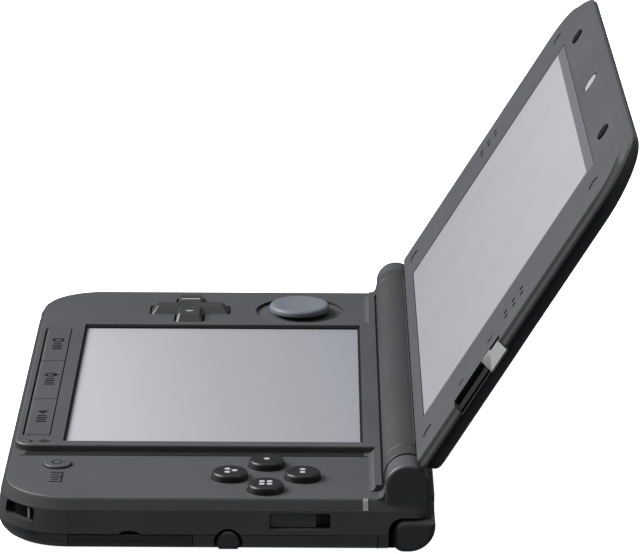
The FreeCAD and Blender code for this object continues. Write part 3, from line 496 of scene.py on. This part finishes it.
# The top shell carries painted shade on its walls, band and light-window pocket.
top_finish = moulded("top_shell_painted_shade", SHELL, 0.48, area=(PAINTED_SIDE_SHADE, top_shell_shade_share))
cross_finish = moulded("cross_key_satin", CROSS, 0.36, grain_mm=0.2, grain_depth=0.008, drift=0.05)
barrel_shaded_finish = moulded("barrel_plastic_painted_shade", BARREL_SHADED, 0.52)
track_shade_finish = moulded("track_painted_shade", TRACK_SHADE, 0.7, grain_mm=0.2, grain_depth=0.006, specular=0.05)
# The lid's inner frame and back shell carry painted shade on their sides.
lid_finish = moulded("lid_plastic_painted_shade", SHELL, 0.48, area=(PAINTED_SIDE_SHADE, sides_shade_share))
back_finish = moulded("lid_back_painted_shade", SHELL, 0.48, area=(PAINTED_SIDE_SHADE, turned_shade_share))
dark_ink = moulded("dark_ink", (0.006, 0.006, 0.008), 0.6, grain_mm=0.15, grain_depth=0.004, specular=0.15)
pale_ink = moulded("pale_ink", (0.42, 0.42, 0.43), 0.5, grain_mm=0.15, grain_depth=0.004)
# Black for real seals and the charge port's tongue, and for painted shade in gaps, at the surround's foot and
# beside the inner lens.
seal_and_shade = moulded("black_seal_and_painted_shade", (0.008, 0.008, 0.009), 0.6, grain_mm=0.2, grain_depth=0.006, specular=0.25)
gold = brushed("gold_contact", (0.75, 0.52, 0.20), 0.28, (4.0, 0.5, 4.0))
# Both displays carry a painted reflection in their colour.
touch_reflection_finish = panel("lower_display", lower_panel_painted_reflection, 0.24, 0.25)
upper_reflection_finish = panel("upper_display", upper_panel_painted_reflection, 0.22, 0.3)


def dress(node, finish):
    mesh_object = nodes[node]
    if not mesh_object.material_slots:
        mesh_object.data.materials.append(finish.material)
    for material_slot in mesh_object.material_slots:
        material_slot.material = finish.material


def dress_all():
    """Finish of each CAD node: by its record slot first, then the shells and keys that have their own."""
    for part in frame["record"]["subparts"]:
        name = part["material_slot"]
        if name in finishes:
            dress(part["node"], finishes[name])
    dress("battery_cover", cover_lit_finish)
    dress("base_bottom_shell", cover_lit_finish)
    dress("base_top_shell", top_finish)
    dress("dpad_key", cross_finish)
    dress("hinge_barrel", barrel_shaded_finish)
    dress("barrel_end_rings", barrel_shaded_finish)
    dress("wireless_switch", cover_lit_finish)
    dress("lid_inner_frame", lid_finish)
    dress("lid_outer_shell", back_finish)
    dress("touch_panel", touch_reflection_finish)
    dress("upper_screen_window", upper_reflection_finish)


# ---------------------------------------------------------------- flat outlines, in millimetres
def bar(cx, cy, width, height):
    """Rectangle round a centre, as a list with one outline."""
    x, y = width / 2, height / 2
    return [[(cx - x, cy - y), (cx + x, cy - y), (cx + x, cy + y), (cx - x, cy + y)]]


def polygon(cx, cy, r, sides, turn=90):
    angles = [math.radians(turn + 360 * k / sides) for k in range(sides)]
    return [[(cx + r * math.cos(a), cy + r * math.sin(a)) for a in angles]]


def arc_band(cx, cy, r0, r1, start=0, end=360, steps=28):
    """Band between two radii, from one angle to another in degrees."""
    angles = [math.radians(start + (end - start) * k / steps) for k in range(steps + 1)]
    inner = [(cx + r0 * math.cos(a), cy + r0 * math.sin(a)) for a in angles]
    outer = [(cx + r1 * math.cos(a), cy + r1 * math.sin(a)) for a in angles]
    return [[inner[k], outer[k], outer[k + 1], inner[k + 1]] for k in range(steps)]


def rounded_loop(width, height, r, steps=6):
    points = []
    for cx, cy, start in ((1, 1, 0), (-1, 1, 90), (-1, -1, 180), (1, -1, 270)):
        for k in range(steps + 1):
            a = math.radians(start + 90 * k / steps)
            x = cx * (width / 2 - r) + r * math.cos(a)
            y = cy * (height / 2 - r) + r * math.sin(a)
            points.append((x, y))
    return points


def frame_band(cx, cy, width, height, thickness, r):
    """Rounded rectangular frame that lies inside width by height."""
    outer = rounded_loop(width, height, r)
    inner = rounded_loop(width - 2 * thickness, height - 2 * thickness, max(r - thickness, 0.02))
    outer, inner = ([(cx + x, cy + y) for x, y in loop] for loop in (outer, inner))
    count = len(outer)
    return [[inner[k], outer[k], outer[(k + 1) % count], inner[(k + 1) % count]] for k in range(count)]


def rounded_plate(cx, cy, width, height, r):
    return [[(cx + x, cy + y) for x, y in rounded_loop(width, height, r)]]


# ---------------------------------------------------------------- pieces that only show
def add_piece(name, mesh, finish, body):
    mesh.materials.append(finish.material)
    piece = bpy.data.objects.new(name, mesh)
    scene.collection.objects.link(piece)
    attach(piece, body)
    return piece


def plate(name, faces, thickness, place, right, up, finish, body, soft=0.0):
    """Thin piece of the given outlines, in the plane through place that right and up span."""
    out = right.cross(up)
    build = bmesh.new()
    for face in faces:
        build.faces.new([build.verts.new(place + (right * x + up * y) * MM) for x, y in face])
    bmesh.ops.remove_doubles(build, verts=build.verts, dist=0.0005 * MM)
    grown = bmesh.ops.extrude_face_region(build, geom=build.faces[:])
    raised = [part for part in grown["geom"] if isinstance(part, bmesh.types.BMVert)]
    bmesh.ops.translate(build, vec=out * thickness * MM, verts=raised)
    bmesh.ops.recalc_face_normals(build, faces=build.faces)
    mesh = bpy.data.meshes.new(name)
    build.to_mesh(mesh)
    build.free()
    piece = add_piece(name, mesh, finish, body)
    if soft:
        edge = piece.modifiers.new("soft edge", "BEVEL")
        edge.width = soft * MM
        edge.segments = 2
        edge.limit_method = "ANGLE"
    return piece


def swept(name, section, start, end, along, out, finish, body):
    """Strip with a section of (across, out) points in millimetres, run from start to end."""
    across = along.cross(out)
    build = bmesh.new()
    rings = [[build.verts.new(place + (across * x + out * y) * MM) for x, y in section]
             for place in (start, end)]
    count = len(section)
    for k in range(count):
        build.faces.new([rings[0][k], rings[0][(k + 1) % count], rings[1][(k + 1) % count], rings[1][k]])
    build.faces.new(rings[0][::-1])
    build.faces.new(rings[1])
    bmesh.ops.recalc_face_normals(build, faces=build.faces)
    mesh = bpy.data.meshes.new(name)
    build.to_mesh(mesh)
    build.free()
    return add_piece(name, mesh, finish, body)


INK = 0.02     # thickness of printed marks


def print_mark(name, faces, place, finish, body, right=ACROSS, up=AWAY):
    """Printed mark on a surface, just proud of it."""
    return plate(name, faces, INK, place, right, up, finish, body)


def add_button_marks():
    """Plain signs on the three system buttons: a sign and a row of ticks each."""
    ticks = []
    for k in range(4):
        ticks += bar(0.4 + 1.35 * k, 0, 0.75, 2.4 if k % 2 else 1.9)
    signs = {
        "select_button": frame_band(-2.3, 0, 2.6, 2.6, 0.6, 0.3),
        "home_button": arc_band(-2.4, 0, 0.8, 1.45) + bar(-2.4, 1.0, 0.6, 1.5),
        "start_button": polygon(-2.3, 0, 1.5, 3, turn=0),
    }
    for node, sign in signs.items():
        place = top_of(node) + Vector((-1.0, 0.2, 0)) * MM
        print_mark(node + "_mark", sign + ticks, place, dark_ink, node)


def add_power_mark():
    """Ring with a stroke on the power button, and a row of ticks with a bar on the deck beside it."""
    sign = arc_band(0, 0, 1.0, 1.35, 125, 415) + bar(0, 1.05, 0.35, 1.3)
    print_mark("power_button_mark", sign, top_of("power_button"), dark_ink, "power_button")
    beside = []
    for k, length in enumerate((2.2, 1.5, 2.2, 1.5, 2.2)):
        beside += bar(5.2 + 1.45 * k, 0, 0.55, length)
    beside += bar(8.1, 1.4, 6.4, 0.4)
    place = Vector((top_of("power_button").x, top_of("power_button").y, deck_z))
    print_mark("power_label", beside, place, dark_ink, "base")


def add_microphone_mark():
    """Small plain sign at the right-hand end of the surround."""
    low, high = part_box("home_button")
    place = Vector((MICROPHONE_X * MM, (low.y + high.y) / 2 + 0.9 * MM, surround_z))
    sign = arc_band(0, 1.0, 0.75, 1.05, 180, 360, 12)
    sign += rounded_plate(0, 1.3, 0.8, 1.7, 0.38) + bar(0, -0.3, 0.3, 0.6)
    print_mark("microphone_mark", sign, place, dark_ink, "base")


def add_face_marks():
    """One to four dots on the four face buttons."""
    layouts = {
        "face_button_left": [(0, 0)],
        "face_button_top": [(-0.9, 0), (0.9, 0)],
        "face_button_bottom": [(-1.0, -0.5), (1.0, -0.5), (0, 1.0)],
        "face_button_right": [(-0.8, -0.8), (0.8, -0.8), (-0.8, 0.8), (0.8, 0.8)],
    }
    for node, dots in layouts.items():
        faces = [face for x, y in dots for face in polygon(x, y, 0.62, 16)]
        print_mark(node + "_dots", faces, top_of(node), pale_ink, node)


def add_key_arrow_highlights():
    """A dash on the left arm of the cross key and a small arrow on its right arm: engraved arrows, drawn in pale
    ink as painted highlights on their edges.
    """
    signs = bar(-4.3, 0, 0.6, 4.5) + [[(5.2, -1.2), (6.2, 0), (5.2, 1.2)]]
    print_mark("key_arrow_highlights", signs, top_of("dpad_key"), pale_ink, "dpad_key")


def add_gaskets():
    """Black seals round both displays, in the gap between window and housing; their black also paints the shade in
    that gap.
    """
    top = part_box("touch_panel")[1].z
    place = Vector((0, LOWER_OPENING[2] * MM, top))
    band = frame_band(0, 0, LOWER_OPENING[0], LOWER_OPENING[1], 0.55, 0.25)
    plate("lower_display_gasket", band, 0.40, place, ACROSS, AWAY, seal_and_shade, "base")
    place = on_lid(0, UPPER_OPENING[2], -0.3 * MM)
    band = frame_band(0, 0, UPPER_OPENING[0], UPPER_OPENING[1], 0.23, 0.1)
    plate("upper_display_gasket", band, 1.15, place, ACROSS, LID_UP, seal_and_shade, "lid")


def add_cover_gap_shade():
    """Dark strips of painted shade in the gap between the battery cover and the block behind it."""
    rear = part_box("battery_cover")[1].y
    place = Vector((0, rear + 0.16 * MM, 0))
    for side, name in ((1, "right"), (-1, "left")):
        strip = rounded_plate(side * 68.5, 2.9, 14.0, 3.4, 0.8)
        plate("cover_gap_shade_" + name, strip, 0.12, place, ACROSS, UP, seal_and_shade, "base")


def add_switch_floor():
    """Backing behind the slot of the wireless switch, in the lighter cover colour, which paints light into that
    recess.
    """
    low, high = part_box("wireless_switch")
    floor = rounded_plate(((low.y + high.y) / 2) / MM + 1.0, low.z / MM + 1.6, 14.2, 3.1, 0.3)
    place = Vector((low.x - 0.15 * MM, 0, 0))
    plate("wireless_switch_floor", floor, 0.12, place, AWAY, UP, cover_lit_finish, "base")


def add_surround_foot_shade():
    """Black strip of painted shade, with a fine ridge, at the foot of the raised surround, on both sides."""
    section = [(-1.15, -0.1), (1.15, -0.1), (1.15, 0.03), (0.30, 0.03), (0.16, 0.14), (-0.16, 0.14),
               (-0.30, 0.03), (-1.15, 0.03)]
    low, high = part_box("touch_panel")
    for side, name in ((1, "right"), (-1, "left")):
        x = side * FOOT_SHADE_X * MM
        start = Vector((x, low.y - 6.5 * MM, deck_z))
        end = Vector((x, high.y - 1.2 * MM, deck_z))
        swept("surround_foot_shade_" + name, section, start, end, AWAY, UP, seal_and_shade, "base")


def add_slider_track():
    """Black sheets as painted shade on the floor and inner wall of the depth slider's track, with a printed wedge
    and ring beside it.
    """
    foot, head = TRACK
    place = on_lid(0, (foot + head) / 2, -0.28 * MM)
    floor = rounded_plate(74.7, 0, 4.7, head - foot - 0.1, 0.3)
    plate("slider_track_shade_floor", floor, 0.08, place, ACROSS, LID_UP, track_shade_finish, "lid")
    wall = bar(72.28, 0, 0.10, head - foot - 0.2)
    plate("slider_track_shade_wall", wall, 1.30, place, ACROSS, LID_UP, track_shade_finish, "lid")
    wedge = [[(66.0, 33.0), (67.4, 33.0), (67.4, 35.6)]]
    ring = arc_band(67.0, 22.9, 0.5, 0.85)
    print_mark("slider_marks", wedge + ring, on_lid(0, 0), dark_ink, "lid",
               ACROSS, LID_UP)


def add_lens_shade():
    """Dark crescent of painted shade at the left of the inner camera lens."""
    ring = arc_band(0, 0, 2.1, 2.55, 70, 290, steps=30)
    lens = on_lid(0, INNER_LENS_UP, 1.06 * MM)
    plate("inner_lens_shade", ring, 0.03, lens, ACROSS, LID_UP, seal_and_shade, "lid")


def add_rear_contacts():
    """Contacts inside the card slot, tongue of the charge port and a plain ruled plate below."""
    low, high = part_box("game_card_slot")
    width = high.x - low.x
    count = 17
    section = [(-0.35, 0), (0.35, 0), (0.35, 0.25), (-0.35, 0.25)]
    for k in range(count):
        x = low.x + width * (k + 2.0) / (count + 3)
        end = Vector((x, high.y - 2.5 * MM, low.z + 1.0 * MM))
        start = end - AWAY * 9 * MM
        swept(f"card_contact_{k}", section, start, end, AWAY, UP, gold, "base")
    low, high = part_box("charge_port")
    centre = (low + high) / 2
    tongue = rounded_plate(centre.x / MM, (high.y - 2.4 * MM) / MM, 5.0, 3.6, 0.3)
    plate("charge_port_tongue", tongue, 0.5, Vector((0, 0, centre.z - 0.25 * MM)), ACROSS, AWAY, seal_and_shade, "base",
          soft=0.1)
    place = Vector((0, BASE_MIDDLE * MM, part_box("battery_cover")[0].z))
    lines = frame_band(0, 2, 56.0, 30.0, 0.35, 2.0)
    for y in (8, 2, -4):
        lines += bar(0, y, 44.0, 0.5)
    print_mark("rating_plate_lines", lines, place, dark_ink, "base", ACROSS, -AWAY)


def soften_small_parts():
    """Rounds the drawn edges of the small hard parts that show."""
    for node in ("depth_slider", "wireless_switch", "volume_slider", "stylus", "sd_door"):
        piece = nodes[node]
        weld = piece.modifiers.new("weld", "WELD")
        weld.merge_threshold = 0.002 * MM
        edge = piece.modifiers.new("soft edge", "BEVEL")
        edge.width = 0.12 * MM
        edge.segments = 2
        edge.limit_method = "ANGLE"
        edge.angle_limit = math.radians(35)


add_camera()
add_world()
add_floor()
dress_all()
add_button_marks()
add_power_mark()
add_microphone_mark()
add_face_marks()
add_key_arrow_highlights()
add_gaskets()
add_cover_gap_shade()
add_switch_floor()
add_surround_foot_shade()
add_slider_track()
add_lens_shade()
add_rear_contacts()
soften_small_parts()
add_light("key", (-0.18, -1.20, 1.02), (0, 0, 0.03), (1.1, 0.9), 48.0)
add_light("top", (-0.25, 0.10, 1.40), (0, 0, 0.03), (1.2, 1.2), 5.0)
add_light("rim", (0.20, 1.20, 0.90), (0, 0, 0.06), (0.8, 0.6), 6.0)
scene.view_settings.view_transform = "Standard"
